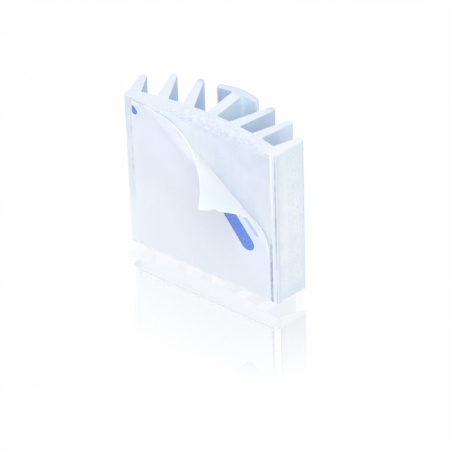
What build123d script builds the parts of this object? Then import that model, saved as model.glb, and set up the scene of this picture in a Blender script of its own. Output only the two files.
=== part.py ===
from build123d import *
import os
from math import cos, hypot, radians, sin, sqrt

# Small stick-on heat sink for a memory chip. One aluminium extrusion carries three leaning fins on each
# side of a T-shaped middle fin. An adhesive tape covers its flat face, and the tape's liner is peeled
# away from one corner and curls over itself.
# It stands on a sawn end: +Z runs along the extrusion and +Y from the tape towards the fin tips.
# The origin is the middle of the extrusion's footprint on the lower sawn end. Sizes are in millimetres.

# Base plate of the extrusion, thickest in the middle
plate_width = 14.3
plate_centre_thickness = 1.74
plate_edge_thickness = 0.8
plate_corner_radius = 0.25
cut_length = 14.05
profile_depth = 5.6

# Leaning fins on each side, from the plate's edge inwards, with their heights above the flat face
fin_heights = (3.04, 4.37, 5.03)
fin_pitch = 2.24
fin_lean = 20.3
fin_root_thickness = 1.0
fin_tip_thickness = 0.54
channel_fillet = 0.12

# Middle fin with its domed cap
stem_thickness = 0.9
cap_width = 3.7
cap_thickness = 0.65
cap_top_radius = 4.6
cap_under_radius = 6.0
cap_end_radius = 0.2

# Adhesive tape, by its margins from the plate's edges
tape_thickness = 0.15
tape_left_margin = 0.85
tape_right_margin = 0.43
tape_bottom_margin = 0.18
tape_top_margin = 0.05

# Liner, by its insets from the tape's edges
liner_thickness = 0.08
liner_left_inset = 0.03
liner_right_inset = 0.17
liner_bottom_inset = 0.07
liner_top_inset = 0.0

# Peeled corner: where the peel line meets the top edge and the right edge, and how the flap bends
peel_start = 0.53
peel_end = 3.78
lift_radius = 4.74
lift_angle = 44.5
curl_radius = 3.1
flap_corner_width = 0.06
flap_sections = 25

bond_y = -profile_depth / 2
half_plate = plate_width / 2


plate_rise = plate_centre_thickness - plate_edge_thickness
arch_radius = (half_plate ** 2 + plate_rise ** 2) / (2 * plate_rise)
run_x, run_y = sin(radians(fin_lean)), cos(radians(fin_lean))
outer_root_x = half_plate - fin_root_thickness / 2


def channel_floor(x):
    """Height of the plate's arched face above the flat one."""
    return plate_centre_thickness - arch_radius + sqrt(arch_radius ** 2 - x ** 2)


def plate_section():
    """Flat face below, arched channel floor above, with rounded edges beside the flat face."""
    sides = Polyline(
        (half_plate, plate_edge_thickness), (half_plate, 0), (-half_plate, 0), (-half_plate, plate_edge_thickness)
    )
    arch = ThreePointArc(
        (-half_plate, plate_edge_thickness), (0, plate_centre_thickness), (half_plate, plate_edge_thickness)
    )
    section = make_face(sides.edges() + arch.edges())
    return fillet(section.vertices().group_by(Axis.Y)[0], plate_corner_radius)


def fin_section(root_x, height):
    """A leaning fin that tapers from a foot inside the plate to its rounded tip."""
    depth, half = plate_edge_thickness / 2, fin_root_thickness / 2
    root_y = channel_floor(root_x)
    foot_x, foot_y = root_x - depth * run_x, root_y - depth * run_y
    inner_end = (foot_x - half * run_y, foot_y + half * run_x)
    outer_end = (foot_x + half * run_y, foot_y - half * run_x)
    if root_x == outer_root_x:
        outer_end = (half_plate, plate_edge_thickness)
    foot = Line(inner_end, outer_end)
    tip_y = height - fin_tip_thickness / 2
    tip_x = root_x + (tip_y - root_y) * run_x / run_y
    tip = Pos(tip_x, tip_y) * Circle(fin_tip_thickness / 2)
    return make_hull(foot.edges() + tip.edges())


def cap_section():
    """Domed cap with a hollow underside and rounded ends."""
    half = cap_width / 2
    top_end = profile_depth - cap_top_radius + sqrt(cap_top_radius ** 2 - half ** 2)
    under_middle = profile_depth - cap_thickness
    under_end = under_middle - cap_under_radius + sqrt(cap_under_radius ** 2 - half ** 2)
    top = ThreePointArc((-half, top_end), (0, profile_depth), (half, top_end))
    under = ThreePointArc((half, under_end), (0, under_middle), (-half, under_end))
    ends = Line((half, top_end), (half, under_end)).edges() + Line((-half, under_end), (-half, top_end)).edges()
    section = make_face(top.edges() + under.edges() + ends)
    return fillet(section.vertices(), cap_end_radius)


def stem_section():
    """Upright of the middle fin, from inside the plate to inside the cap."""
    bottom = plate_centre_thickness / 2
    top = profile_depth - cap_thickness / 2
    return Pos(0, (bottom + top) / 2) * Rectangle(stem_thickness, top - bottom)


def is_channel_corner(vertex):
    """True for the corners where a fin or the stem meets the channel floor, or the stem its cap."""
    on_floor = abs(hypot(vertex.X, vertex.Y - plate_centre_thickness + arch_radius) - arch_radius) < 1e-4
    on_stem = abs(abs(vertex.X) - stem_thickness / 2) < 1e-4
    return (on_floor and abs(vertex.X) < outer_root_x) or on_stem


def heat_sink():
    """The whole profile, filleted in its channels and sawn to length."""
    profile = plate_section() + stem_section() + cap_section()
    for index, height in enumerate(fin_heights):
        fin = fin_section(outer_root_x - index * fin_pitch, height)
        profile += fin
        profile += mirror(fin, Plane.YZ)
    profile = fillet([v for v in profile.vertices() if is_channel_corner(v)], channel_fillet)
    return Pos(0, bond_y, 0) * extrude(profile, cut_length)


tape_left = -half_plate + tape_left_margin
tape_right = half_plate - tape_right_margin
tape_bottom = tape_bottom_margin
tape_top = cut_length - tape_top_margin
tape_face_y = bond_y - tape_thickness

liner_left = tape_left + liner_left_inset
liner_right = tape_right - liner_right_inset
liner_bottom = tape_bottom + liner_bottom_inset
liner_top = tape_top - liner_top_inset

peel_line = (liner_right - liner_left - peel_start, -(liner_top - liner_bottom - peel_end))
peel_length = hypot(*peel_line)
along_peel = Vector(-peel_line[0], 0, -peel_line[1]) / peel_length
across_peel = Vector(-peel_line[1], 0, peel_line[0]) / peel_length
peel_offset = liner_right * across_peel.X + (liner_bottom + peel_end) * across_peel.Z
flap_length = liner_right * across_peel.X + liner_top * across_peel.Z - peel_offset
lift_length = lift_radius * radians(lift_angle)


def thermal_tape():
    """Flat adhesive tape on the plate's flat face."""
    width, height = tape_right - tape_left, tape_top - tape_bottom
    centre = Pos((tape_left + tape_right) / 2, bond_y - tape_thickness / 2, (tape_bottom + tape_top) / 2)
    return centre * Box(width, tape_thickness, height)


def bend(distance):
    """Travel across the peel line, lift off the tape and angle, at a distance along the flap."""
    lift = min(distance, lift_length) / lift_radius
    curl = lift + max(distance - lift_length, 0) / curl_radius
    travel = lift_radius * sin(lift) + curl_radius * (sin(curl) - sin(lift))
    height = lift_radius * (1 - cos(lift)) + curl_radius * (cos(lift) - cos(curl))
    return travel, height, curl


def flap_section(distance):
    """Strip of the flap at one distance from the peel line, from the liner's top edge to its right edge."""
    flat = peel_offset + distance
    top_end = (liner_top - flat * across_peel.Z) / along_peel.Z
    right_end = (liner_right - flat * across_peel.X) / along_peel.X
    travel, height, angle = bend(distance)
    foot = across_peel * (peel_offset + travel) + Vector(0, tape_face_y - height, 0)
    outward = across_peel * -sin(angle) + Vector(0, -cos(angle), 0)
    inner = [foot + along_peel * end for end in (top_end, right_end)]
    outer = [point + outward * liner_thickness for point in reversed(inner)]
    return make_face(Polyline(*inner, *outer, close=True).edges())


def release_liner():
    """Liner that still lies on the tape left of the peel line, and curls over itself beyond it."""
    start = (liner_left + peel_start, liner_top)
    end = (liner_right, liner_bottom + peel_end)
    outline = Polyline(
        start, (liner_left, liner_top), (liner_left, liner_bottom), (liner_right, liner_bottom), end, close=True
    )
    stuck = extrude(Plane.XZ.offset(-tape_face_y) * make_face(outline.edges()), liner_thickness)
    last = flap_length * (1 - flap_corner_width / peel_length)
    strips = [flap_section(last * step / (flap_sections - 1)) for step in range(flap_sections)]
    return stuck + loft(strips)


os.makedirs("parts", exist_ok=True)
export_step(heat_sink(), "parts/heat_sink.step")
export_step(thermal_tape(), "parts/thermal_tape.step")
export_step(release_liner(), "parts/release_liner.step")
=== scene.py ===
"""Dresses and shows the memory chip heat sink: bare extrusion, thermal tape and half-peeled liner."""

from math import cos, hypot, radians, sin

import bmesh
import bpy
from mathutils import Matrix, Vector


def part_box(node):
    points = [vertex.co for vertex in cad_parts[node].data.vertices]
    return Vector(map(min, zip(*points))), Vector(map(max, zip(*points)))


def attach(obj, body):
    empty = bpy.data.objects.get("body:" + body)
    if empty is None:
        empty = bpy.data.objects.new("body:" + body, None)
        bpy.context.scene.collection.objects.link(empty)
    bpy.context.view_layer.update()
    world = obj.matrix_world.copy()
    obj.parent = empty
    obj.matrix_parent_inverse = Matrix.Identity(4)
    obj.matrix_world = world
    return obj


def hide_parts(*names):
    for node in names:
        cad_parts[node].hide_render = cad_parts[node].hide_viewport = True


bl_info = {
    "name": "Memory chip heat sink",
    "version": (1, 0, 0),
    "blender": (4, 5, 0),
    "location": "3D View > Sidebar > Heat sink",
    "description": "Dresses the heat sink's solids with metal, tape and a peeled liner",
    "category": "Object",
}

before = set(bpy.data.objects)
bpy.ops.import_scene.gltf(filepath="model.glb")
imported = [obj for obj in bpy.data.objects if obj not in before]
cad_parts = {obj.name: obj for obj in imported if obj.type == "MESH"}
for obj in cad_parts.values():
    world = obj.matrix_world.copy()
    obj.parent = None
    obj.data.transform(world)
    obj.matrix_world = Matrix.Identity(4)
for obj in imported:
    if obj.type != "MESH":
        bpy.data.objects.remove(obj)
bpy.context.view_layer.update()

# Sizes and places are in millimetres of the object, unless a comment says otherwise.
MM = 0.001
SINK_LOW, SINK_HIGH = (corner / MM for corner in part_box("heat_sink"))
TAPE_LOW, TAPE_HIGH = (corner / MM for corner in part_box("thermal_tape"))
LINER_LOW, LINER_HIGH = (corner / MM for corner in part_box("release_liner"))

# Points that are closer than this, in metres, are the same.
TOUCHING = 0.001 * MM

# The plate's side faces, from its middle.
PLATE_SIDE = 7.15

# How far the fins lean outwards for each millimetre of their height.
FIN_LEAN_SLOPE = 0.37

# How much darker the sawn ends' colour is than the extruded faces'.
SAWN_TONE = (0.873, 0.88, 0.885)

# The chips that the saw leaves along the cut edges.
BURR_SIZE = 0.085
BURR_SPACING = 0.16
SEED = 7

LINER_THICKNESS = 0.08

# The liner is peeled along a slanting line: these distances run along its top edge and its right edge,
# from the corners to where the line meets them. From there it bends in two arcs.
PEEL_START = 0.53
PEEL_END = 3.78
LIFT_RADIUS = 4.74
LIFT_ANGLE = 44.5
CURL_RADIUS = 3.1

# The peeled corner flares a little, and there is a nick in the edge beside it.
FLARE_REACH = 2.8
FLARE_MOVE = (-0.1, -0.22, 0.25)
NICK_PLACE = 1.1
NICK_WIDTH = 0.17
NICK_DEPTH = 0.17

# The plain printed bars on the liner: middle in x and z, half length, half width and strength.
BAR_TURN = -54.0
BARS = (
    (-6.02, 13.18, 0.42, 0.27, 1.0),
    (3.7, 6.0, 1.95, 0.62, 1.0),
    (5.02, 6.88, 0.95, 0.26, 0.5),
)

# The photograph's camera: turned about the object in degrees, then its distances and, in the floor's
# x and y, the way across the picture.
VIEW_AZIMUTH = 37.6208
VIEW_ELEVATION = 37.6944
VIEW_ROLL = -1.9691
VIEW_DISTANCE = 253.744
VIEW_TARGET = (0.0, -0.3, 7.0)
VIEW_SLIDE_RIGHT = 0.3279
VIEW_SLIDE_UP = -3.1635
VIEW_ACROSS = (0.792, 0.61)
LENS = 264.628
SENSOR_WIDTH = 36.0

# The broad lamp: its place and width in metres and its power in watts.
LAMP_PLACE = (0.2, -0.2, 0.36)
LAMP_WIDTH = 0.25
LAMP_POWER = 1.23

# The soft surroundings: the way to the middle of each bright part and its strength.
SURROUNDINGS = (
    ((1.0, 0.0, 0.25), 0.35),
    ((0.6, -0.7, 0.45), 1.93),
    ((-0.6, -0.7, 0.45), 0.71),
    ((-1.0, 0.0, 0.25), 2.09),
    ((0.0, 0.8, 0.6), 0.86),
)
BACKDROP = 0.991

# The floor's half width in metres, and half the footprint of what stands over it.
FLOOR_REACH = 2.0
FOOTPRINT = (7.3, 2.8)


class Value:
    """A number or vector that varies over a surface, with Python's arithmetic."""

    def __init__(self, sheet, socket):
        self.sheet = sheet
        self.socket = socket

    def __add__(self, other):
        return self.sheet.maths("ADD", self, other)

    def __radd__(self, other):
        return self.sheet.maths("ADD", other, self)

    def __sub__(self, other):
        return self.sheet.maths("SUBTRACT", self, other)

    def __rsub__(self, other):
        return self.sheet.maths("SUBTRACT", other, self)

    def __mul__(self, other):
        return self.sheet.maths("MULTIPLY", self, other)

    def __rmul__(self, other):
        return self.sheet.maths("MULTIPLY", other, self)

    def __truediv__(self, other):
        return self.sheet.maths("DIVIDE", self, other)

    def __rtruediv__(self, other):
        return self.sheet.maths("DIVIDE", other, self)

    def __neg__(self):
        return self.sheet.maths("MULTIPLY", self, -1.0)

    def __abs__(self):
        return self.sheet.maths("ABSOLUTE", self)

    def smooth(self, low, high):
        """0 below low, 1 above high and a smooth step between; low may be the larger."""
        return self.sheet.node(
            "ShaderNodeMapRange",
            {"interpolation_type": "SMOOTHSTEP"},
            {"Value": self, "From Min": low, "From Max": high},
        )

    def band(self, low, high, soft):
        """1 between low and high and 0 outside, with soft edges of the given width."""
        rising = self.smooth(low - soft / 2, low + soft / 2)
        return rising * self.smooth(high + soft / 2, high - soft / 2)


class NodeSheet:
    """Adds nodes to one tree, of a material, of the surroundings or of geometry."""

    def __init__(self, tree):
        self.tree = tree

    def node(self, kind, options=None, sockets=None, output=0):
        """Adds a node, sets it up, fills or links its sockets and returns one output."""
        made = self.tree.nodes.new(kind)
        for name, value in (options or {}).items():
            setattr(made, name, value)
        for name, value in (sockets or {}).items():
            if isinstance(value, Value):
                self.tree.links.new(value.socket, made.inputs[name])
            else:
                made.inputs[name].default_value = value
        return Value(self, made.outputs[output]) if made.outputs else made

    def maths(self, operation, *values):
        """One Math node on numbers."""
        return self.node("ShaderNodeMath", {"operation": operation}, dict(enumerate(values)))

    def vector_maths(self, operation, sockets, output=0):
        """One Vector Math node."""
        return self.node("ShaderNodeVectorMath", {"operation": operation}, sockets, output)

    def other(self, value, output):
        """Another output of the node that a value comes from."""
        return Value(self, value.socket.node.outputs[output])

    def split(self, vector):
        """The three numbers of a vector."""
        x = self.node("ShaderNodeSeparateXYZ", None, {0: vector})
        return x, self.other(x, 1), self.other(x, 2)

    def join(self, x, y, z):
        """A vector of three numbers."""
        return self.node("ShaderNodeCombineXYZ", None, {0: x, 1: y, 2: z})

    def distance(self, x, y):
        """The length of a way with two parts at right angles."""
        return self.maths("SQRT", x * x + y * y)

    def noise(self, vector, scale, detail=2.0, roughness=0.5, seed=0.0):
        """Cloudy noise from 0 to 1, most of it near a half."""
        return self.node(
            "ShaderNodeTexNoise",
            {"noise_dimensions": "4D"},
            {"Vector": vector, "W": seed, "Scale": scale, "Detail": detail, "Roughness": roughness},
        )

    def stretch(self, vector, scales, turn=0.0):
        """A pattern's coordinates turned about z and then scaled on each axis."""
        sockets = {"Vector": vector, "Rotation": (0.0, 0.0, turn), "Scale": scales}
        return self.node("ShaderNodeMapping", None, sockets)

    def drawn_noise(self, vector, scales, roughness=0.6, seed=0.0, turn=0.0):
        """Cloudy noise with another scale on each axis, and so drawn out along some."""
        return self.noise(self.stretch(vector, scales, turn), 1.0, 3.0, roughness, seed)

    def mix(self, factor, first, second):
        """A colour between two colours."""
        return self.node(
            "ShaderNodeMix",
            {"data_type": "RGBA", "clamp_factor": True},
            {0: factor, 6: first, 7: second},
            output=2,
        )

    def layers(self, shade, *coats):
        """A colour with others laid over it in turn, each as strongly as its mask says."""
        for mask, coat in coats:
            shade = self.mix(mask, shade, coat)
        return shade

    def store(self, geometry, name, value, kind="FLOAT_VECTOR", domain="POINT"):
        """A geometry that also holds a value under a name."""
        return self.node(
            "GeometryNodeStoreNamedAttribute",
            {"data_type": kind, "domain": domain},
            {"Geometry": geometry, "Name": name, "Value": value},
        )

    def chance(self, seed, low, high):
        """A random number or vector for each point, between two limits."""
        kind, first, output = ("FLOAT_VECTOR", 0, 0) if isinstance(low, tuple) else ("FLOAT", 2, 1)
        number = self.node("GeometryNodeInputIndex")
        return self.node(
            "FunctionNodeRandomValue",
            {"data_type": kind},
            {"ID": number, "Seed": seed, first: low, first + 1: high},
            output,
        )


class Finish(NodeSheet):
    """One procedural material."""

    def __init__(self, name):
        self.material = bpy.data.materials.new(name)
        self.material.use_nodes = True
        self.material.node_tree.nodes.clear()
        super().__init__(self.material.node_tree)

    def bump(self, height, depth):
        """A relief of the given depth for a height from 0 to 1."""
        sockets = {"Height": height, "Strength": 1.0, "Distance": depth * MM}
        return self.node("ShaderNodeBump", None, sockets)

    def surface(self, **sockets):
        """Ends the material in a Principled shader."""
        names = {name.replace("_", " "): value for name, value in sockets.items()}
        return self.end(self.node("ShaderNodeBsdfPrincipled", None, names))

    def end(self, shader):
        """Links a shader to the material's output and returns the material."""
        self.node("ShaderNodeOutputMaterial", None, {"Surface": shader})
        return self.material


class SolidFinish(Finish):
    """A material that knows where the surface is, in millimetres of the object."""

    def __init__(self, name):
        super().__init__(name)
        place = self.node("ShaderNodeTexCoord", None, None, output="Object")
        self.spot = self.stretch(place, (1 / MM, 1 / MM, 1 / MM))
        self.x, self.y, self.z = self.split(self.spot)


def colour(red, green, blue):
    """A colour from its linear red, green and blue."""
    return (red, green, blue, 1.0)


WHITE = colour(1.0, 1.0, 1.0)
BLACK = colour(0.0, 0.0, 0.0)


def tinter(base, tone=(1.0, 1.0, 1.0), most=1.0):
    """A function that scales a base colour's parts, and the tone's with them, up to a limit."""

    def tint(*factors):
        parts = zip(base, factors, tone)
        return colour(*(min(most, part * (factor * share)) for part, factor, share in parts))

    return tint


# What the colours and the lengths that a user may change have in common.
COLOUR_KIND = {"subtype": "COLOR", "size": 3, "min": 0.0, "max": 1.0}
LENGTH_KIND = {"subtype": "DISTANCE", "unit": "LENGTH", "precision": 5}


class HeatSinkSettings(bpy.types.PropertyGroup):
    """Sizes and colours of the finished heat sink."""

    metal_colour: bpy.props.FloatVectorProperty(
        name="Metal colour",
        description="Colour of the bare aluminium",
        **COLOUR_KIND,
        default=(0.79, 0.862, 0.95),
    )
    metal_roughness: bpy.props.FloatProperty(
        name="Metal roughness",
        description="How matt the extruded faces are",
        subtype="FACTOR",
        min=0.0,
        max=1.0,
        default=0.52,
    )
    tape_colour: bpy.props.FloatVectorProperty(
        name="Tape colour",
        description="Colour of the exposed thermal tape",
        **COLOUR_KIND,
        default=(0.755, 0.795, 0.86),
    )
    liner_colour: bpy.props.FloatVectorProperty(
        name="Liner colour",
        description="Colour of the liner's printed side",
        **COLOUR_KIND,
        default=(0.788, 0.845, 1.0),
    )
    liner_back_colour: bpy.props.FloatVectorProperty(
        name="Liner back colour",
        description="Colour of the liner's coated side",
        **COLOUR_KIND,
        default=(0.68, 0.72, 0.755),
    )
    ink_colour: bpy.props.FloatVectorProperty(
        name="Ink colour",
        description="Colour of the plain printed bars on the liner",
        **COLOUR_KIND,
        default=(0.075, 0.185, 0.74),
    )
    liner_thickness: bpy.props.FloatProperty(
        name="Liner thickness",
        description="Thickness of the paper liner",
        **LENGTH_KIND,
        min=0.02 * MM,
        max=0.3 * MM,
        default=LINER_THICKNESS * MM,
    )
    peel_radius: bpy.props.FloatProperty(
        name="Curl radius",
        description="Radius of the liner's rolled back corner",
        **LENGTH_KIND,
        min=1.0 * MM,
        max=10.0 * MM,
        default=CURL_RADIUS * MM,
    )
    burr_size: bpy.props.FloatProperty(
        name="Burr size",
        description="Length of the larger chips left by the saw",
        **LENGTH_KIND,
        min=0.01 * MM,
        max=0.5 * MM,
        default=BURR_SIZE * MM,
    )
    burr_spacing: bpy.props.FloatProperty(
        name="Burr spacing",
        description="Distance between chips along the sawn edges",
        **LENGTH_KIND,
        min=0.05 * MM,
        max=5.0 * MM,
        default=BURR_SPACING * MM,
    )
    seed: bpy.props.IntProperty(
        name="Seed",
        description="Picks another random layout of chips and edge flaws",
        min=0,
        default=SEED,
    )
    floor_gap: bpy.props.FloatProperty(
        name="Gap above the mirror",
        description="Distance from the sink's lower end down to the reflecting floor",
        **LENGTH_KIND,
        min=0.0,
        max=10.0 * MM,
        default=1.25 * MM,
    )
    floor_mirror: bpy.props.FloatProperty(
        name="Floor reflection",
        description="Strength of the reflection next to the object",
        subtype="FACTOR",
        min=0.0,
        max=1.0,
        default=0.43,
    )


def settings():
    """The scene's heat sink settings."""
    return bpy.context.scene.heat_sink


def metal_finish():
    """Bare extruded aluminium with die lines, sawn ends and a mottled left margin, and painted light and
    shade.
    """
    chosen = settings()
    finish = SolidFinish("aluminium")
    spot, x, z = finish.spot, finish.x, finish.z
    tint = tinter(chosen.metal_colour)
    middle_z = (SINK_LOW.z + SINK_HIGH.z) / 2
    half_z = (SINK_HIGH.z - SINK_LOW.z) / 2
    sawn = abs(z - middle_z).smooth(half_z - 0.03, half_z - 0.01)
    off_end = 1 - sawn
    outer_side = x.smooth(PLATE_SIDE - 0.07, PLATE_SIDE - 0.01) * off_end
    # A painted highlight along the top of the right-hand side, just under the sawn edge.
    rim_highlight = outer_side * z.smooth(SINK_HIGH.z - 0.14, SINK_HIGH.z - 0.08)

    die_lines = finish.drawn_noise(spot, (9.0, 9.0, 0.12))
    grain = finish.noise(spot, 9.0, 2.0, 0.6, seed=3.0)
    cloud = finish.noise(spot, 0.7, 2.0, 0.5, seed=5.0)
    coarse = grain.smooth(0.42, 0.66)
    darker = tint(0.9, 0.93, 0.96)
    below_grain, over_grain = painted_channel_light(finish, tint, off_end, grain)
    sawn_shade, sawn_relief = sawn_look(finish, sawn, middle_z)
    # Painted shade: a thin dark line in the turn of the flat face's right edge.
    corner_shade_line = painted_corner_shade(finish)
    # The sides, channels, sawn ends and margins carry painted light and shade.
    shade = finish.layers(
        tint(1.0, 1.0, 1.0),
        *painted_side_light(finish, tint, outer_side),
        *below_grain,
        (die_lines.smooth(0.35, 0.75) * (0.3 + outer_side * 0.15), darker),
        (coarse * (0.6 - outer_side * 0.35), tint(0.88, 0.91, 0.95)),
        (outer_side * coarse * 0.3, tint(0.99, 0.97, 0.95)),
        (cloud.smooth(0.4, 0.7) * 0.3, darker),
        *over_grain,
        (rim_highlight * 0.8, tint(1.08, 1.06, 1.03)),
        (sawn, sawn_shade),
        *margin_coats(finish, tint, off_end),
        (corner_shade_line * 0.66, colour(0.16, 0.22, 0.36)),
    )
    relief = die_lines * off_end * 0.4 + grain * 0.4 + sawn * sawn_relief
    return finish.surface(
        Base_Color=shade,
        Metallic=0.65 - corner_shade_line * 0.4 - sawn * 0.35,
        Roughness=chosen.metal_roughness + (grain - 0.5) * 0.12 + sawn * 0.08,
        Normal=finish.bump(relief, 0.015),
    )


def painted_side_light(finish, tint, outer_side):
    """Painted light and shade on the right-hand side: lighter overall, darker at the foot, lighter bands
    along its height, a lighter front and a darker rim at the fin.
    """
    y, z = finish.y, finish.z
    return [
        (outer_side, tint(1.12, 1.07, 0.99)),
        (outer_side * z.smooth(1.4, 0.2), tint(0.95, 0.96, 0.95)),
        (outer_side * z.smooth(8.6, 10.6), tint(1.08, 1.045, 0.985)),
        (outer_side * z.smooth(12.0, 13.6), tint(1.02, 1.0, 0.965)),
        (outer_side * z.band(5.6, 8.6, 1.5), tint(1.165, 1.1, 1.0)),
        (outer_side * y.smooth(-1.4, -2.2) * 0.55, tint(1.155, 1.12, 1.055)),
        (outer_side * y.smooth(-0.75, -0.15) * 0.6, tint(0.975, 0.975, 0.955)),
    ]


def painted_channel_light(finish, tint, off_end, grain):
    """Painted light and shade for the walls of the channels: coats under the metal's grain and over it.

    The walls are told apart by how far they would stand from the middle at the flat face.
    """
    x, y, z = finish.x, finish.y, finish.z
    foot = abs(x) - (y - SINK_LOW.y) * FIN_LEAN_SLOPE
    on_right = x.smooth(0.0, 0.1)
    behind = y.smooth(-1.6, -1.3) * off_end
    inner_wall = foot.band(1.6, 2.5, 0.1) * on_right * behind
    middle_wall = foot.band(3.9, 4.9, 0.1) * on_right * behind
    stem_wall = foot.smooth(0.9, 0.6) * on_right * y.smooth(2.35, 2.2) * behind
    left_walls = foot.smooth(6.4, 6.2) * (1 - on_right) * behind
    # Painted light under the cap's left arm, against its shade, except close to the top end.
    lit_under_cap = x.band(-1.95, -0.9, 0.3) * y.band(1.7, 2.25, 0.05)
    lit_under_cap = lit_under_cap * z.smooth(SINK_HIGH.z - 0.3, SINK_HIGH.z - 0.9)
    # A painted highlight along the fillet between the stem and the cap.
    fillet_highlight = finish.distance(x - 0.53, y - 2.07).smooth(0.09, 0.04) * off_end

    # Painted light and shade for each wall from its foot to its tip, and painted light on the stem's
    # wall and under the cap.
    inner_painted_shade = finish.mix(y.smooth(-0.2, 1.2), tint(0.965, 0.975, 0.985), tint(0.735, 0.79, 0.88))
    middle_painted_shade = finish.layers(
        tint(0.95, 0.98, 1.03),
        (y.smooth(-1.4, -0.3), tint(0.825, 0.865, 0.945)),
        (y.smooth(-0.05, 0.35), tint(0.91, 0.935, 0.935)),
    )
    below_grain = [
        (inner_wall, inner_painted_shade),
        (middle_wall, middle_painted_shade),
        (stem_wall, tint(1.11, 1.12, 1.05)),
        (left_walls, tint(1.02, 1.03, 1.05)),
        (lit_under_cap, tint(1.18, 1.15, 1.05)),
    ]
    over_grain = [
        (grain.smooth(0.52, 0.7) * behind * 0.5, tint(0.74, 0.78, 0.86)),
        (stem_wall * 0.5, tint(1.06, 1.09, 1.05)),
        (fillet_highlight * 0.8, colour(0.97, 1.0, 1.0)),
    ]
    return below_grain, over_grain


def sawn_look(finish, sawn, middle_z):
    """The sawn ends' colour and relief: saw lines all over, torn metal in the plate's middle, and
    painted light and shade.
    """
    spot, x, y, z = finish.spot, finish.x, finish.y, finish.z
    cut = tinter(settings().metal_colour, SAWN_TONE)
    saw_lines = finish.drawn_noise(spot, (1.2, 11.0, 1.0), 0.7, seed=9.0, turn=radians(14))
    specks = finish.noise(finish.stretch(spot, (1.0, 1.0, 0.1)), 5.2, 3.0, 0.65, seed=11.0)
    drift = finish.noise(finish.stretch(spot, (0.22, 0.5, 1.0)), 1.0, 1.0, 0.5, seed=13.0)
    patches = finish.noise(finish.stretch(spot, (0.9, 1.3, 0.1)), 1.0, 2.0, 0.6, seed=15.0)
    on_plate = y.smooth(-0.6, -1.5) * 0.72 + 0.28
    rough_part = on_plate * (abs(x - 1.2) + abs(drift - 0.5) * 6.0).smooth(7.2, 2.5)
    torn = specks.smooth(0.52, 0.68) * sawn * rough_part
    bright = specks.smooth(0.46, 0.32) * sawn * rough_part
    front_edge = y.smooth(-2.1, -2.6) * rough_part * sawn * specks.smooth(0.44, 0.58)

    # Painted shade over the cap, its rim and the first fin; painted light on the last fin, the stem's
    # end and the lower sawn end.
    cap = y.smooth(1.5, 1.9)
    dome_rim_shade = finish.distance(x, y + 1.8).smooth(4.4, 4.52) * y.smooth(1.7, 1.9) * sawn
    first_fin_shade = x.smooth(-5.8, -7.0) * y.smooth(0.5, -0.8)
    last_fin_light = x.smooth(5.4, 7.0) * sawn
    stem = y.band(-0.2, 2.0, 0.5) * abs(x).smooth(0.8, 0.5)
    lower_end_light = z.smooth(middle_z, middle_z - 1.0)
    shade = finish.layers(
        cut(1.06, 1.0, 0.985),
        (saw_lines.smooth(0.4, 0.75) * 0.3, cut(0.9, 0.93, 0.96)),
        (patches.smooth(0.4, 0.6), cut(1.02, 1.02, 1.0)),
        (torn * 0.6, cut(0.74, 0.8, 0.88)),
        (bright * 0.6, cut(1.17, 1.13, 1.05)),
        (front_edge * 0.32, cut(0.72, 0.75, 0.86)),
        (cap * 0.6, cut(0.9, 0.885, 0.94)),
        (dome_rim_shade * 0.8, cut(0.88, 0.87, 0.92)),
        (first_fin_shade * 0.4, cut(0.98, 0.96, 0.975)),
        (last_fin_light, cut(1.135, 1.05, 0.985)),
        (stem * 0.8, cut(1.1, 1.035, 0.98)),
        (lower_end_light * 0.38, cut(1.2, 1.18, 1.13)),
    )
    return shade, saw_lines * 0.4 + specks * rough_part


def margin_coats(finish, tint, off_end):
    """Coats for the flat face's strips round the tape, with a painted shadow by the tape's left edge,
    painted light at the foot and painted shade on the turn of the right edge.
    """
    spot, x, y, z = finish.spot, finish.x, finish.y, finish.z
    flat_face = y.smooth(SINK_LOW.y + 0.12, SINK_LOW.y + 0.02)
    left_margin = x.smooth(-6.15, -6.35) * flat_face
    right_margin = x.smooth(TAPE_HIGH.x - 0.08, TAPE_HIGH.x - 0.02) * flat_face
    # Painted light on the strip at the foot of the flat face, and painted shade on the turn of its right
    # edge.
    lit_foot_strip = flat_face * z.smooth(0.24, 0.16)
    corner_turn_shade = x.smooth(PLATE_SIDE - 0.1, PLATE_SIDE - 0.06) * y.smooth(-2.45, -2.6) * off_end

    tape_edge = x.smooth(TAPE_LOW.x - 0.3, TAPE_LOW.x - 0.14) * left_margin
    # A painted mottled shadow beside the tape's left edge.
    tape_edge_shadow = finish.drawn_noise(spot, (4.0, 1.0, 1.8), 0.7, seed=2.0).smooth(0.42, 0.62)
    tape_edge_shadow = tape_edge_shadow * tape_edge * z.smooth(4.5, 7.5)
    # The left margin is mottled darker towards the top and paler towards the bottom.
    margin_mottle = finish.drawn_noise(spot, (1.6, 1.0, 0.5), seed=12.0)
    margin_mottle = (margin_mottle + z.smooth(9.0, 14.0) * 0.2).smooth(0.42, 0.66)
    pale_margin_foot = z.smooth(7.0, 2.5) * left_margin
    right_shade = finish.mix(z.smooth(8.0, 4.5), colour(0.82, 0.84, 0.87), colour(0.9, 0.91, 0.93))
    return [
        (left_margin * 0.6, colour(0.8, 0.855, 0.895)),
        (left_margin * margin_mottle * 0.35, colour(0.6, 0.66, 0.82)),
        (pale_margin_foot * 0.9, colour(0.88, 0.92, 0.945)),
        (tape_edge_shadow * 0.62, colour(0.46, 0.58, 0.68)),
        (lit_foot_strip, tint(1.0, 0.97, 0.955)),
        (right_margin * 0.8, right_shade),
        (corner_turn_shade * 0.9, tint(0.91, 0.91, 0.9)),
    ]


def painted_corner_shade(finish):
    """Painted shade: a thin dark line in the turn of the flat face's right edge, broken and faint at its
    ends.
    """
    line = finish.x.band(6.945, 7.055, 0.03) * finish.y.smooth(-2.5, -2.65)
    lively = abs(finish.z - 8.5).smooth(5.5, 1.5) * 0.4 + 0.35
    breaks = finish.drawn_noise(finish.spot, (0.2, 0.2, 0.8), seed=4.0)
    return line * (lively + breaks.smooth(0.42, 0.62) * 0.25)


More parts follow.
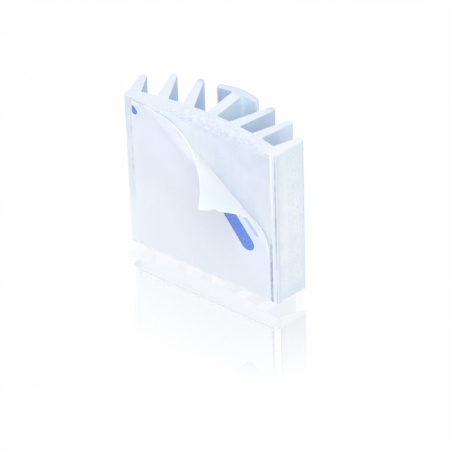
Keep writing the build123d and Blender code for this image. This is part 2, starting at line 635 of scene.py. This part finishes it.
def tape_finish():
    """Matt thermal tape with faint streaks along the extrusion, painted light and shade, and a painted
    glow.
    """
    finish = SolidFinish("tape")
    spot, x, z = finish.spot, finish.x, finish.z
    tint = tinter(settings().tape_colour)
    streaks = finish.drawn_noise(spot, (3.2, 3.2, 0.14), seed=1.0)
    threads = finish.noise(finish.stretch(spot, (7.0, 7.0, 0.5)), 1.0, 2.0, 0.6, seed=10.0)
    cloud = finish.noise(spot, 0.5, 2.0, 0.5, seed=6.0)
    grain = finish.noise(spot, 9.0, 2.0, 0.6, seed=8.0)
    from_fold, along_fold = past_fold(x, z), along_peel(x, z)
    shaded_upper_right = from_fold.smooth(4.4, 8.4) * (0.5 + z.smooth(8.5, 11.5) * 0.5)
    topmost_shade = z.smooth(11.0, 13.2) * from_fold.smooth(3.8, 5.2)
    lit_lower_edge = z.smooth(LINER_LOW.z + 0.03, LINER_LOW.z)
    # Painted light and shade: lighter beside the fold against the rolled flap's shade, darker further
    # out, most at the upper right and the top, and lighter on the lower edge.
    shade = finish.layers(
        tint(1.08, 1.07, 1.06),
        (from_fold.smooth(0.2, 2.2), tint(0.98, 0.985, 0.955)),
        (from_fold.smooth(1.8, 5.2), tint(0.84, 0.845, 0.865)),
        (shaded_upper_right, tint(0.755, 0.765, 0.79)),
        (topmost_shade * 0.4, tint(0.7, 0.735, 0.78)),
        (streaks.smooth(0.42, 0.62) * 0.11, tint(0.7, 0.7, 0.82)),
        (threads.smooth(0.46, 0.62) * 0.12, tint(0.72, 0.8, 0.84)),
        (grain.smooth(0.46, 0.68) * 0.1, tint(0.72, 0.76, 0.82)),
        (cloud.smooth(0.35, 0.7) * 0.25, tint(1.06, 1.05, 1.03)),
        *tape_top_coats(finish, tint),
        (lit_lower_edge, tint(1.2, 1.17, 1.12)),
        *tape_right_coats(finish),
    )

    # Painted light: the tape glows beside the fold, in place of light coming through the thin liner, and
    # faintly at its lower edge.
    through = from_fold.smooth(3.4, 1.3) * from_fold.smooth(0.2, 0.9) * along_fold.smooth(-1.4, 0.2)
    near_lifted_edge = along_fold.smooth(4.5, 7.5) * along_fold.smooth(11.0, 9.0)
    light = finish.mix(near_lifted_edge, colour(0.065, 0.08, 0.11), colour(0.175, 0.175, 0.165))
    light = finish.layers(BLACK, (through, light), (lit_lower_edge, colour(0.03, 0.03, 0.045)))
    return finish.surface(
        Base_Color=shade,
        Roughness=0.42 + grain * 0.16,
        Specular_IOR_Level=0.35,
        Emission_Color=light,
        Emission_Strength=1.0,
        Normal=finish.bump(streaks * 0.5 + grain * 0.5, 0.008),
    )


def tape_top_coats(finish, tint):
    """Coats for the tape's sawn upper edge: torn, darker just below it and darker on its top face."""
    x, z = finish.x, finish.z
    tears = finish.drawn_noise(finish.spot, (2.6, 2.6, 1.2), 0.65, seed=14.0)
    near_top = (z + (tears - 0.5) * 0.8).smooth(TAPE_HIGH.z - 0.3, TAPE_HIGH.z - 0.04)
    torn_part = near_top * abs(x - 2.2).smooth(3.2, 1.2)
    by_top = z.smooth(TAPE_HIGH.z - 0.32, TAPE_HIGH.z - 0.14) * x.smooth(-1.0, 1.0)
    on_top = z.smooth(TAPE_HIGH.z - 0.02, TAPE_HIGH.z - 0.005)
    return [
        (near_top * (0.2 + x.smooth(-2.0, 1.0) * 0.55), tint(0.9, 0.9, 0.92)),
        (torn_part * tears.smooth(0.5, 0.6) * 0.5, tint(0.66, 0.68, 0.8)),
        (torn_part * tears.smooth(0.44, 0.36) * 0.5, tint(1.1, 1.08, 1.05)),
        (by_top * 0.5, tint(0.8, 0.82, 0.86)),
        (on_top, tint(0.775, 0.78, 0.8)),
    ]


def tape_right_coats(finish):
    """Coats for the tape's right edge: pale above, with a painted mottled shadow low down where the
    liner's edge lies beside it.
    """
    x, y, z = finish.x, finish.y, finish.z
    edge = x.smooth(TAPE_HIGH.x - 0.06, TAPE_HIGH.x - 0.02)
    edge_shade = finish.mix(z.smooth(9.6, 6.6), colour(0.77, 0.81, 0.85), colour(0.62, 0.67, 0.74))
    # A painted shadow of the liner's edge on the tape, low down, broken into a mottle.
    shadow_mottle = finish.drawn_noise(finish.spot, (1.0, 1.0, 1.6), seed=3.0)
    liner_edge_shadow = x.smooth(LINER_HIGH.x - 0.02, LINER_HIGH.x + 0.03) * z.smooth(6.6, 5.2)
    liner_edge_shadow = liner_edge_shadow * (0.5 + shadow_mottle.smooth(0.38, 0.6) * 0.5) * y.smooth(-2.88, -2.93)
    return [(edge * 0.8, edge_shade), (liner_edge_shadow * 0.85, colour(0.24, 0.3, 0.42))]


def liner_finish():
    """Coated paper, printed with plain bars on its outer side, with painted light and shade and a
    painted glow.
    """
    chosen = settings()
    finish = Finish("liner")
    flat = finish.node("ShaderNodeAttribute", {"attribute_name": "flat_place"}, output="Vector")
    side = finish.node("ShaderNodeAttribute", {"attribute_name": "liner_side"}, output="Fac")
    printed_side = side.smooth(0.6, 0.4)
    cut_edge = abs(side - 1.0).smooth(0.4, 0.2)
    across, up, _ = finish.split(flat)
    from_fold = past_fold(across, up)

    fibres = finish.drawn_noise(flat, (5.0, 1.6, 1.0), 0.65, seed=2.0)
    cloud = finish.noise(flat, 0.35, 2.0, 0.5, seed=4.0)
    grain = finish.noise(flat, 12.0, 2.0, 0.6, seed=6.0)
    ink_grain = finish.noise(flat, 6.0, 2.0, 0.6, seed=8.0)
    stringy = fibres.smooth(0.45, 0.8)
    lies_flat = across.smooth(-0.5, -4.0)
    at_foot = up.smooth(LINER_LOW.z + 0.06, LINER_LOW.z + 0.03)

    # The printed side, with painted shade where the light falls off, painted light low on the left and a
    # painted highlight along its top edge.
    tint = tinter(chosen.liner_colour, most=1.02)
    upper_left = across.smooth(-0.5, -4.5) * up.smooth(4.5, 7.5)
    lower_right = across.smooth(-1.0, 3.5) * up.smooth(9.0, 4.5)
    by_lift = across.smooth(1.2, -0.8) * up.smooth(11.2, 12.8)
    light_falloff = finish.maths("MAXIMUM", upper_left, lower_right) + by_lift * 0.5
    lit_low_left = across.smooth(0.0, -6.0) * up.smooth(10.0, 3.0)
    top_edge_highlight = up.smooth(LINER_HIGH.z - 0.26, LINER_HIGH.z - 0.12) * (1 - lies_flat * 0.7)
    front = finish.layers(
        tint(0.99, 1.0, 1.0),
        (cloud.smooth(0.35, 0.68) * 0.8, tint(1.04, 1.025, 1.01)),
        (stringy * 0.5, tint(0.95, 0.955, 0.98)),
        (light_falloff, tint(0.945, 0.945, 0.945)),
        (lit_low_left * 0.7, tint(1.05, 1.035, 1.0)),
        (top_edge_highlight * 0.12, tint(1.1, 1.07, 1.0)),
    )

    # The coated side, which shows on the flap, with painted shade towards its corner and painted light
    # beside the fold.
    back_tint = tinter(chosen.liner_back_colour)
    from_corner = finish.distance(across - LINER_HIGH.x, up - LINER_HIGH.z)
    back = finish.layers(
        back_tint(1.0, 1.0, 1.0),
        (from_corner.smooth(4.4, 1.2), back_tint(0.83, 0.86, 0.905)),
        (from_fold.smooth(5.4, 3.6), back_tint(1.07, 1.04, 1.01)),
        (stringy * 0.25, back_tint(0.9, 0.92, 0.95)),
    )

    # The cut edge: darker where the sheet lies flat, with painted light at its foot.
    edge_shade = finish.layers(
        colour(0.68, 0.74, 0.83),
        (lies_flat, colour(0.52, 0.58, 0.68)),
        (at_foot, colour(0.96, 0.97, 1.0)),
    )
    # A painted shadow with a ragged edge along the liner's left edge, higher up.
    left_edge_shadow = (across + (grain - 0.5) * 0.06).smooth(LINER_LOW.x + 0.11, LINER_LOW.x + 0.05)
    ink_tint = tinter(chosen.ink_colour)
    ink_shade = finish.mix(
        ink_grain.smooth(0.4, 0.62), ink_tint(1.7, 1.35, 1.1), ink_tint(0.45, 0.65, 0.86)
    )
    ink = bar_print(finish, across, up) * printed_side * 0.94
    ink = ink * across.smooth(LINER_LOW.x + 0.06, LINER_LOW.x + 0.11)
    shade = finish.layers(
        back,
        (printed_side, front),
        (cut_edge, edge_shade),
        (left_edge_shadow * up.smooth(2.5, 7.0) * 0.7, colour(0.6, 0.68, 0.8)),
        (ink, ink_shade),
    )

    # Painted light: a faint glow of the paper on its printed side, stronger beside the fold, and on its
    # lower cut edge.
    by_fold = from_fold.smooth(-3.6, -0.8) * up.smooth(13.0, 10.5)
    paper_glow = finish.mix(by_fold, colour(0.004, 0.01, 0.022), colour(0.012, 0.03, 0.06))
    paper_glow = finish.layers(
        BLACK, (printed_side, paper_glow), (cut_edge * at_foot, colour(0.06, 0.06, 0.08))
    )
    return finish.surface(
        Base_Color=shade,
        Roughness=0.38 + grain * 0.12,
        Specular_IOR_Level=0.4,
        Subsurface_Weight=0.7,
        Subsurface_Radius=(1.0, 1.0, 1.0),
        Subsurface_Scale=0.4 * MM,
        Emission_Color=paper_glow,
        Emission_Strength=1.0,
        Normal=finish.bump(fibres * 0.6 + grain * 0.3, 0.006),
    )


def bar_print(finish, across, up):
    """How strongly the plain slanting bars are printed at a place of the flat liner."""
    turn = radians(BAR_TURN)
    marks = 0.0
    for middle_x, middle_z, half_length, half_width, strength in BARS:
        off_x, off_z = across - middle_x, up - middle_z
        run = off_x * cos(turn) + off_z * sin(turn)
        side = off_z * cos(turn) - off_x * sin(turn)
        past_end = finish.maths("MAXIMUM", abs(run) - (half_length - half_width), 0.0)
        reach = finish.distance(past_end, side)
        bar = reach.smooth(half_width + 0.02, half_width - 0.02) * strength
        marks = finish.maths("MAXIMUM", marks, bar)
    return marks


def new_tree(name, sizes):
    """A Geometry Nodes tree with a Geometry input and output and the named inputs."""
    tree = bpy.data.node_groups.new(name, "GeometryNodeTree")
    tree.interface.new_socket("Geometry", in_out="INPUT", socket_type="NodeSocketGeometry")
    for label, kind, default in sizes:
        socket = tree.interface.new_socket(label, in_out="INPUT", socket_type=kind)
        socket.default_value = default
    tree.interface.new_socket("Geometry", in_out="OUTPUT", socket_type="NodeSocketGeometry")
    sheet = NodeSheet(tree)
    start = sheet.node("NodeGroupInput")
    inputs = {socket.name: Value(sheet, socket) for socket in start.socket.node.outputs if socket.name}
    return sheet, inputs


def end_tree(sheet, geometry, material):
    """Realizes the instances, gives them their material and ends the tree."""
    real = sheet.node("GeometryNodeRealizeInstances", None, {"Geometry": geometry})
    coated = sheet.node("GeometryNodeSetMaterial", None, {"Geometry": real, "Material": material})
    sheet.node("NodeGroupOutput", None, {"Geometry": coated})


def made_by_nodes(name, base, sheet, values, smooth_angle=None):
    """Runs a tree on a base mesh and returns the result as one plain mesh object."""
    holder = add_object(name + "_maker", base)
    modifier = holder.modifiers.new("Maker", "NODES")
    modifier.node_group = sheet.tree
    for item in sheet.tree.interface.items_tree:
        if item.in_out == "INPUT" and item.name in values:
            modifier[item.identifier] = values[item.name]
    bpy.context.view_layer.update()
    graph = bpy.context.evaluated_depsgraph_get()
    mesh = bpy.data.meshes.new_from_object(holder.evaluated_get(graph))
    mesh.name = name
    holder.modifiers.remove(modifier)
    bpy.data.objects.remove(holder)
    bpy.data.meshes.remove(base)
    if smooth_angle is not None:
        mesh.shade_smooth()
        mesh.set_sharp_from_angle(angle=radians(smooth_angle))
    return add_object(name, mesh)


def peel_measures():
    """Directions along and across the liner's fold in x and z, and the fold's offset from the origin."""
    run_x = LINER_HIGH.x - LINER_LOW.x - PEEL_START
    run_z = -(LINER_HIGH.z - LINER_LOW.z - PEEL_END)
    length = hypot(run_x, run_z)
    along = (-run_x / length, -run_z / length)
    across = (-run_z / length, run_x / length)
    offset = LINER_HIGH.x * across[0] + (LINER_LOW.z + PEEL_END) * across[1]
    return along, across, offset


def past_fold(x, z, unit=1.0):
    """How far past the liner's fold a place lies; the unit is 1 for millimetres and MM for metres."""
    _, across, offset = peel_measures()
    return x * across[0] + z * across[1] - offset * unit


def along_peel(x, z):
    """How far up along the liner's fold a place lies."""
    along, _, _ = peel_measures()
    return x * along[0] + z * along[1]


def liner_tree(material):
    """A tree that divides a flat sheet, bends its corner back and thickens it."""
    sheet, given = new_tree(
        "peeled_liner",
        [
            ("Width", "NodeSocketFloat", (LINER_HIGH.x - LINER_LOW.x) * MM),
            ("Length", "NodeSocketFloat", (LINER_HIGH.z - LINER_LOW.z) * MM),
            ("Thickness", "NodeSocketFloat", LINER_THICKNESS * MM),
            ("Lift radius", "NodeSocketFloat", LIFT_RADIUS * MM),
            ("Lift angle", "NodeSocketFloat", radians(LIFT_ANGLE)),
            ("Curl radius", "NodeSocketFloat", CURL_RADIUS * MM),
            ("Edge flaw", "NodeSocketFloat", 0.02 * MM),
            ("Columns", "NodeSocketInt", 97),
            ("Rows", "NodeSocketInt", 105),
            ("Seed", "NodeSocketInt", SEED),
        ],
    )
    grid = sheet.node(
        "GeometryNodeMeshGrid",
        None,
        {
            "Size X": given["Width"],
            "Size Y": given["Length"],
            "Vertices X": given["Columns"],
            "Vertices Y": given["Rows"],
        },
    )
    from_middle, up_middle, _ = sheet.split(sheet.node("GeometryNodeInputPosition"))
    flat_x = from_middle + (LINER_LOW.x + LINER_HIGH.x) / 2 * MM
    flat_z = up_middle + (LINER_LOW.z + LINER_HIGH.z) / 2 * MM

    # The cut edges wander inwards a little, and the middle of the sheet stays as it is.
    edge_x = (abs(from_middle) * 2.0 / given["Width"]).smooth(0.965, 1.0)
    edge_z = (abs(up_middle) * 2.0 / given["Length"]).smooth(0.965, 1.0)
    where = sheet.join(flat_x / MM, flat_z / MM, 0.0)
    inwards = sheet.noise(where, 1.1, 2.0, 0.55, seed=given["Seed"]) - 1.0
    flat_x = flat_x + edge_x * inwards * given["Edge flaw"] * 1.2 * sheet.maths("SIGN", from_middle)
    flat_z = flat_z + edge_z * inwards * given["Edge flaw"] * 1.2 * sheet.maths("SIGN", up_middle)

    by_right = flat_x.smooth((LINER_HIGH.x - 0.7) * MM, LINER_HIGH.x * MM)
    from_nick = (flat_z - (LINER_HIGH.z - NICK_PLACE) * MM) / (NICK_WIDTH * MM)
    nick = sheet.maths("EXPONENT", -(from_nick * from_nick)) * by_right
    flat_x = flat_x - nick * (NICK_DEPTH * MM)

    bent, outward = bent_place(sheet, given, flat_x, flat_z)
    from_corner = sheet.distance(flat_x - LINER_HIGH.x * MM, flat_z - LINER_HIGH.z * MM)
    flare = from_corner.smooth(FLARE_REACH * MM, 0.0)
    corner_move = tuple(move * MM for move in FLARE_MOVE)
    flared = sheet.vector_maths("SCALE", {0: corner_move, "Scale": flare * flare})
    bent = sheet.vector_maths("ADD", {0: bent, 1: flared})

    kept = sheet.store(grid, "flat_place", sheet.join(flat_x / MM, flat_z / MM, 0.0))
    kept = sheet.store(kept, "outward", outward)
    bent_sheet = sheet.node("GeometryNodeSetPosition", None, {"Geometry": kept, "Position": bent})
    stored = sheet.node(
        "GeometryNodeInputNamedAttribute", {"data_type": "FLOAT_VECTOR"}, {"Name": "outward"}
    )
    thick = sheet.node(
        "GeometryNodeExtrudeMesh",
        {"mode": "FACES"},
        {"Mesh": bent_sheet, "Offset": stored, "Offset Scale": given["Thickness"], "Individual": False},
    )
    outer = sheet.store(thick, "liner_side", sheet.other(thick, "Side"), "FLOAT", "FACE")
    inner = sheet.store(bent_sheet, "liner_side", 2.0, "FLOAT", "FACE")
    inner = sheet.node("GeometryNodeFlipFaces", None, {"Mesh": inner})
    joined = sheet.node("GeometryNodeJoinGeometry")
    for part in (inner, outer):
        sheet.tree.links.new(part.socket, joined.socket.node.inputs[0])
    closing = {"Geometry": joined, "Distance": TOUCHING}
    end_tree(sheet, sheet.node("GeometryNodeMergeByDistance", None, closing), material)
    return sheet


def bent_place(sheet, given, flat_x, flat_z):
    """Where a place of the flat liner lies once it is peeled, and the way outwards from there."""
    along, across, offset = peel_measures()
    past, along_line = past_fold(flat_x, flat_z, MM), along_peel(flat_x, flat_z)
    distance = sheet.maths("MAXIMUM", past, 0.0)
    before = sheet.maths("MINIMUM", past, 0.0)
    lift_radius, curl_radius = given["Lift radius"], given["Curl radius"]
    lift_length = lift_radius * given["Lift angle"]
    lift = sheet.maths("MINIMUM", distance, lift_length) / lift_radius
    curl = lift + sheet.maths("MAXIMUM", distance - lift_length, 0.0) / curl_radius
    sin_lift, cos_lift = sheet.maths("SINE", lift), sheet.maths("COSINE", lift)
    sin_curl, cos_curl = sheet.maths("SINE", curl), sheet.maths("COSINE", curl)
    travel = lift_radius * sin_lift + curl_radius * (sin_curl - sin_lift)
    height = lift_radius * (1.0 - cos_lift) + curl_radius * (cos_lift - cos_curl)

    reach = before + travel + offset * MM
    place = sheet.join(
        reach * across[0] + along_line * along[0],
        TAPE_LOW.y * MM - height,
        reach * across[1] + along_line * along[1],
    )
    return place, sheet.join(sin_curl * -across[0], -cos_curl, sin_curl * -across[1])


def sawn_outline():
    """The sharp edges round the plate's and fins' sawn ends, as a mesh of edges only."""
    work = bmesh.new()
    work.from_mesh(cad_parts["heat_sink"].data)
    bmesh.ops.remove_doubles(work, verts=work.verts, dist=TOUCHING)
    work.normal_update()
    points, edges, number = [], [], {}
    for edge in work.edges:
        heights = [vertex.co.z for vertex in edge.verts]
        at_end = any(
            all(abs(height - end * MM) < TOUCHING for height in heights)
            for end in (SINK_LOW.z, SINK_HIGH.z)
        )
        if at_end and edge.calc_face_angle(0.0) > radians(60):
            for vertex in edge.verts:
                if vertex.index not in number:
                    number[vertex.index] = len(points)
                    points.append(tuple(vertex.co))
            edges.append(tuple(number[vertex.index] for vertex in edge.verts))
    work.free()
    if not edges:
        raise RuntimeError("the heat sink has no sawn edges to follow")
    outline = bpy.data.meshes.new("sawn_outline")
    outline.from_pydata(points, edges, [])
    outline.update()
    return outline


def burr_tree(material):
    """A tree that scatters small chips along the sawn outline, most of them on the bond side."""
    sheet, given = new_tree(
        "saw_burrs",
        [
            ("Spacing", "NodeSocketFloat", BURR_SPACING * MM),
            ("Chip size", "NodeSocketFloat", BURR_SIZE * MM),
            ("Seed", "NodeSocketInt", SEED),
        ],
    )
    seed = given["Seed"]
    curve = sheet.node("GeometryNodeMeshToCurve", None, {"Mesh": given["Geometry"]})
    points = sheet.node(
        "GeometryNodeCurveToPoints", {"mode": "LENGTH"}, {"Curve": curve, "Length": given["Spacing"]}
    )
    x, y, z = sheet.split(sheet.node("GeometryNodeInputPosition"))
    bond_side = y.smooth(-2.4 * MM, -2.7 * MM)
    along = sheet.join(x / MM, z / MM, 0.0)
    clump = sheet.noise(along, 0.55, 1.0, 0.5, seed=seed).smooth(0.5, 0.62)
    wanted = sheet.node(
        "FunctionNodeCompare",
        {"data_type": "FLOAT", "operation": "LESS_THAN"},
        {0: sheet.chance(seed, 0.0, 1.0), 1: 0.12 + bond_side * clump * 0.4},
    )
    size = sheet.chance(seed + 1, 0.22, 1.0)
    size = size * size * given["Chip size"] * (0.35 + bond_side * 0.65)
    turn = sheet.chance(seed + 2, (-3.1, -3.1, -3.1), (3.1, 3.1, 3.1))
    shift = sheet.chance(seed + 3, (-0.05 * MM, 0.0, -0.02 * MM), (0.05 * MM, 0.07 * MM, 0.0))
    lump = sheet.node("GeometryNodeMeshIcoSphere", None, {"Radius": 0.5, "Subdivisions": 1})
    spot = sheet.node("GeometryNodeInputPosition")
    spread = sheet.noise(spot, 2.3, 1.0, 0.5, seed=1.0)
    dent = sheet.vector_maths("SCALE", {0: spot, "Scale": 0.4 + spread * 1.1})
    chip = sheet.node("GeometryNodeSetPosition", None, {"Geometry": lump, "Position": dent})
    moved = sheet.node("GeometryNodeSetPosition", None, {"Geometry": points, "Offset": shift})
    placed = sheet.node(
        "GeometryNodeInstanceOnPoints",
        None,
        {
            "Points": moved,
            "Selection": wanted,
            "Instance": chip,
            "Rotation": turn,
            "Scale": sheet.join(size * 1.3, size * 0.8, size * 0.55),
        },
    )
    end_tree(sheet, placed, material)
    return sheet


class HEATSINK_OT_metal(bpy.types.Operator):
    """Give the extrusion its bare aluminium finish"""

    bl_idname = "heat_sink.metal"
    bl_label = "Finish the extrusion"

    def execute(self, context):
        put_on(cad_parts["heat_sink"], metal_finish())
        return {"FINISHED"}


class HEATSINK_OT_burrs(bpy.types.Operator):
    """Leave the saw's small chips along the cut edges"""

    bl_idname = "heat_sink.burrs"
    bl_label = "Add the saw burrs"

    def execute(self, context):
        chosen = settings()
        metal = bpy.data.materials.get("aluminium") or metal_finish()
        burrs = made_by_nodes(
            "saw_burrs",
            sawn_outline(),
            burr_tree(metal),
            {"Spacing": chosen.burr_spacing, "Chip size": chosen.burr_size, "Seed": chosen.seed},
        )
        if not burrs.data.polygons:
            raise RuntimeError("no burrs were made")
        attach(burrs, "root")
        return {"FINISHED"}


class HEATSINK_OT_tape(bpy.types.Operator):
    """Give the thermal tape its matt streaked finish"""

    bl_idname = "heat_sink.tape"
    bl_label = "Finish the tape"

    def execute(self, context):
        put_on(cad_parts["thermal_tape"], tape_finish())
        return {"FINISHED"}


class HEATSINK_OT_liner(bpy.types.Operator):
    """Lay the paper liner on the tape with its upper right corner peeled back"""

    bl_idname = "heat_sink.liner"
    bl_label = "Make the peeled liner"

    def execute(self, context):
        chosen = settings()
        width = (LINER_HIGH.x - LINER_LOW.x) * MM
        length = (LINER_HIGH.z - LINER_LOW.z) * MM
        liner = made_by_nodes(
            "liner_sheet",
            bpy.data.meshes.new("liner_base"),
            liner_tree(liner_finish()),
            {
                "Width": width,
                "Length": length,
                "Thickness": chosen.liner_thickness,
                "Curl radius": chosen.peel_radius,
                "Seed": chosen.seed,
            },
            smooth_angle=40,
        )
        if not liner.data.polygons:
            raise RuntimeError("the liner came out empty")
        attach(liner, "root")
        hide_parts("release_liner")
        return {"FINISHED"}


class HEATSINK_OT_stage(bpy.types.Operator):
    """Set the pale floor, the soft light and the camera"""

    bl_idname = "heat_sink.stage"
    bl_label = "Set the stage"

    def execute(self, context):
        pale_floor()
        soft_surroundings()
        broad_lamp()
        photograph_camera()
        context.scene.view_settings.view_transform = "Standard"
        cycles = context.scene.cycles
        cycles.max_bounces = 16
        cycles.glossy_bounces = 12
        cycles.diffuse_bounces = 6
        return {"FINISHED"}


def add_object(name, data):
    """A new object with this data, linked to the scene."""
    made = bpy.data.objects.new(name, data)
    bpy.context.scene.collection.objects.link(made)
    return made


def put_on(node, material):
    """Gives a carried-over solid one material in all its slots."""
    if not node.data.materials:
        node.data.materials.append(material)
    for slot in node.material_slots:
        slot.material = material


def pale_floor():
    """A wide white floor that mirrors what stands close to it."""
    chosen = settings()
    level = SINK_LOW.z * MM - chosen.floor_gap
    turns = ((-1, -1), (1, -1), (1, 1), (-1, 1))
    corners = [(side * FLOOR_REACH, back * FLOOR_REACH, level) for side, back in turns]
    mesh = bpy.data.meshes.new("floor")
    mesh.from_pydata(corners, [], [(0, 1, 2, 3)])
    mesh.materials.append(floor_finish(chosen.floor_mirror))
    return add_object("floor", mesh)


def floor_finish(strength):
    """A white that stays even in the picture and mirrors the object, less and less further out."""
    finish = SolidFinish("floor")
    x, y = finish.x, finish.y
    past_x = finish.maths("MAXIMUM", abs(x) - FOOTPRINT[0], 0.0)
    past_y = finish.maths("MAXIMUM", abs(y) - FOOTPRINT[1], 0.0)
    away = finish.distance(past_x, past_y)
    fade = (away + x * 0.12).smooth(9.0, 1.2)

    # The channels' and the fins' ends are mirrored more faintly, in a soft shadow.
    rise = 0.94 - (x - 1.0) * (x - 1.0) * (0.94 / 51.0)
    last_channel = (x - (y + 3.07) * FIN_LEAN_SLOPE).smooth(7.25, 7.05)
    past_last_fin = y.smooth(-1.15, -0.95)
    below = (y - rise).smooth(-3.35, -3.15) * finish.maths("MAXIMUM", last_channel, past_last_fin)
    fade = fade * (1.0 - below * 0.74)
    sideways = x * VIEW_ACROSS[0] + y * VIEW_ACROSS[1]
    shadow = below * away.smooth(0.8, 0.0) * x.smooth(-7.45, -7.1) * sideways.smooth(6.05, 5.85)

    # Painted shade: the floor is a little darker where it mirrors the left margin and the right corner.
    mirrored = sideways.band(-7.12, -6.65, 0.12) + sideways.band(3.8, 4.06, 0.12)
    mirrored = mirrored * y.smooth(-2.8, -3.0) * fade
    lit = finish.layers(
        WHITE, (shadow, colour(0.945, 0.958, 0.985)), (mirrored, colour(0.92, 0.935, 0.955))
    )
    glow = finish.node("ShaderNodeEmission", None, {"Color": lit, "Strength": BACKDROP})
    mirror = finish.node("ShaderNodeBsdfGlossy", None, {"Color": WHITE, "Roughness": 0.0})
    seen = finish.node("ShaderNodeMixShader", None, {0: fade * strength, 1: glow, 2: mirror})

    # What the floor throws back on the object: less from where the object shades it.
    shaded = y.smooth(3.0, 9.0) * (x - y * 0.25).smooth(8.0, 3.0)
    thrown = finish.layers(
        colour(0.85, 0.85, 0.86),
        (shaded, colour(0.45, 0.57, 0.8)),
        (away.smooth(0.6, 0.0), colour(1.08, 1.1, 1.14)),
    )
    bounce = finish.node("ShaderNodeEmission", None, {"Color": thrown, "Strength": 1.0})
    camera_ray = finish.node("ShaderNodeLightPath", None, None, output="Is Camera Ray")
    return finish.end(finish.node("ShaderNodeMixShader", None, {0: camera_ray, 1: bounce, 2: seen}))


def soft_surroundings():
    """Surroundings with soft bright parts, which the camera sees as an even white."""
    world = bpy.data.worlds.new("studio")
    world.use_nodes = True
    world.node_tree.nodes.clear()
    sheet = NodeSheet(world.node_tree)
    way = sheet.node("ShaderNodeTexCoord", None, None, output="Generated")
    around = 0.0
    for middle, strength in SURROUNDINGS:
        to_middle = tuple(Vector(middle).normalized())
        towards = sheet.vector_maths("DOT_PRODUCT", {0: way, 1: to_middle}, "Value")
        towards = sheet.maths("MAXIMUM", towards, 0.0)
        around = around + sheet.maths("POWER", towards, 4.0) * strength
    camera_ray = sheet.node("ShaderNodeLightPath", None, None, output="Is Camera Ray")
    mirrored_ray = sheet.other(camera_ray, "Is Singular Ray")
    plain = sheet.maths("MAXIMUM", camera_ray, mirrored_ray)
    strength = around + plain * (BACKDROP - around)
    sky = sheet.node("ShaderNodeBackground", None, {"Color": WHITE, "Strength": strength})
    sheet.node("ShaderNodeOutputWorld", None, {"Surface": sky})
    bpy.context.scene.world = world


def broad_lamp():
    """One broad lamp above the camera's side, turned to the object."""
    data = bpy.data.lights.new("key", "AREA")
    data.shape = "SQUARE"
    data.size = LAMP_WIDTH
    data.energy = LAMP_POWER
    lamp = add_object("key", data)
    direction = Vector(LAMP_PLACE) - Vector(VIEW_TARGET) * MM
    turn = direction.to_track_quat("Z", "Y").to_matrix().to_4x4()
    lamp.matrix_world = Matrix.Translation(LAMP_PLACE) @ turn
    lamp.visible_camera = False


def photograph_camera():
    """The camera where the photograph was taken from."""
    azimuth, elevation, roll = radians(VIEW_AZIMUTH), radians(VIEW_ELEVATION), radians(VIEW_ROLL)
    back = Vector((sin(azimuth) * cos(elevation), -cos(azimuth) * cos(elevation), sin(elevation)))
    right = Vector((cos(azimuth), sin(azimuth), 0.0))
    up = back.cross(right)
    turned_right = right * cos(roll) + up * sin(roll)
    turned_up = up * cos(roll) - right * sin(roll)
    spot = Vector(VIEW_TARGET) + turned_right * VIEW_SLIDE_RIGHT + turned_up * VIEW_SLIDE_UP
    spot = (spot + back * VIEW_DISTANCE) * MM
    data = bpy.data.cameras.new("camera")
    data.lens = LENS
    data.sensor_width = SENSOR_WIDTH
    data.clip_start = 0.01
    data.clip_end = 20.0
    camera = add_object("camera", data)
    turn = Matrix((turned_right, turned_up, back)).transposed().to_4x4()
    camera.matrix_world = Matrix.Translation(spot) @ turn
    bpy.context.scene.camera = camera


class HEATSINK_PT_panel(bpy.types.Panel):
    """Lists the steps that dress the heat sink"""

    bl_idname = "HEATSINK_PT_panel"
    bl_label = "Heat sink"
    bl_space_type = "VIEW_3D"
    bl_region_type = "UI"
    bl_category = "Heat sink"

    def draw(self, context):
        layout = self.layout
        chosen = context.scene.heat_sink
        for name in HeatSinkSettings.__annotations__:
            layout.prop(chosen, name)
        for operator in OPERATORS:
            layout.operator(operator.bl_idname)


OPERATORS = (
    HEATSINK_OT_metal,
    HEATSINK_OT_burrs,
    HEATSINK_OT_tape,
    HEATSINK_OT_liner,
    HEATSINK_OT_stage,
)
CLASSES = (HeatSinkSettings, *OPERATORS, HEATSINK_PT_panel)


def register():
    """Adds the classes and the scene's settings."""
    for item in CLASSES:
        bpy.utils.register_class(item)
    bpy.types.Scene.heat_sink = bpy.props.PointerProperty(type=HeatSinkSettings)


def unregister():
    """Takes the settings and the classes out again."""
    del bpy.types.Scene.heat_sink
    for item in reversed(CLASSES):
        bpy.utils.unregister_class(item)


def main():
    """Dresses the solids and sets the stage."""
    register()
    bpy.ops.heat_sink.metal()
    bpy.ops.heat_sink.burrs()
    bpy.ops.heat_sink.tape()
    bpy.ops.heat_sink.liner()
    bpy.ops.heat_sink.stage()


if __name__ == "__main__":
    main()
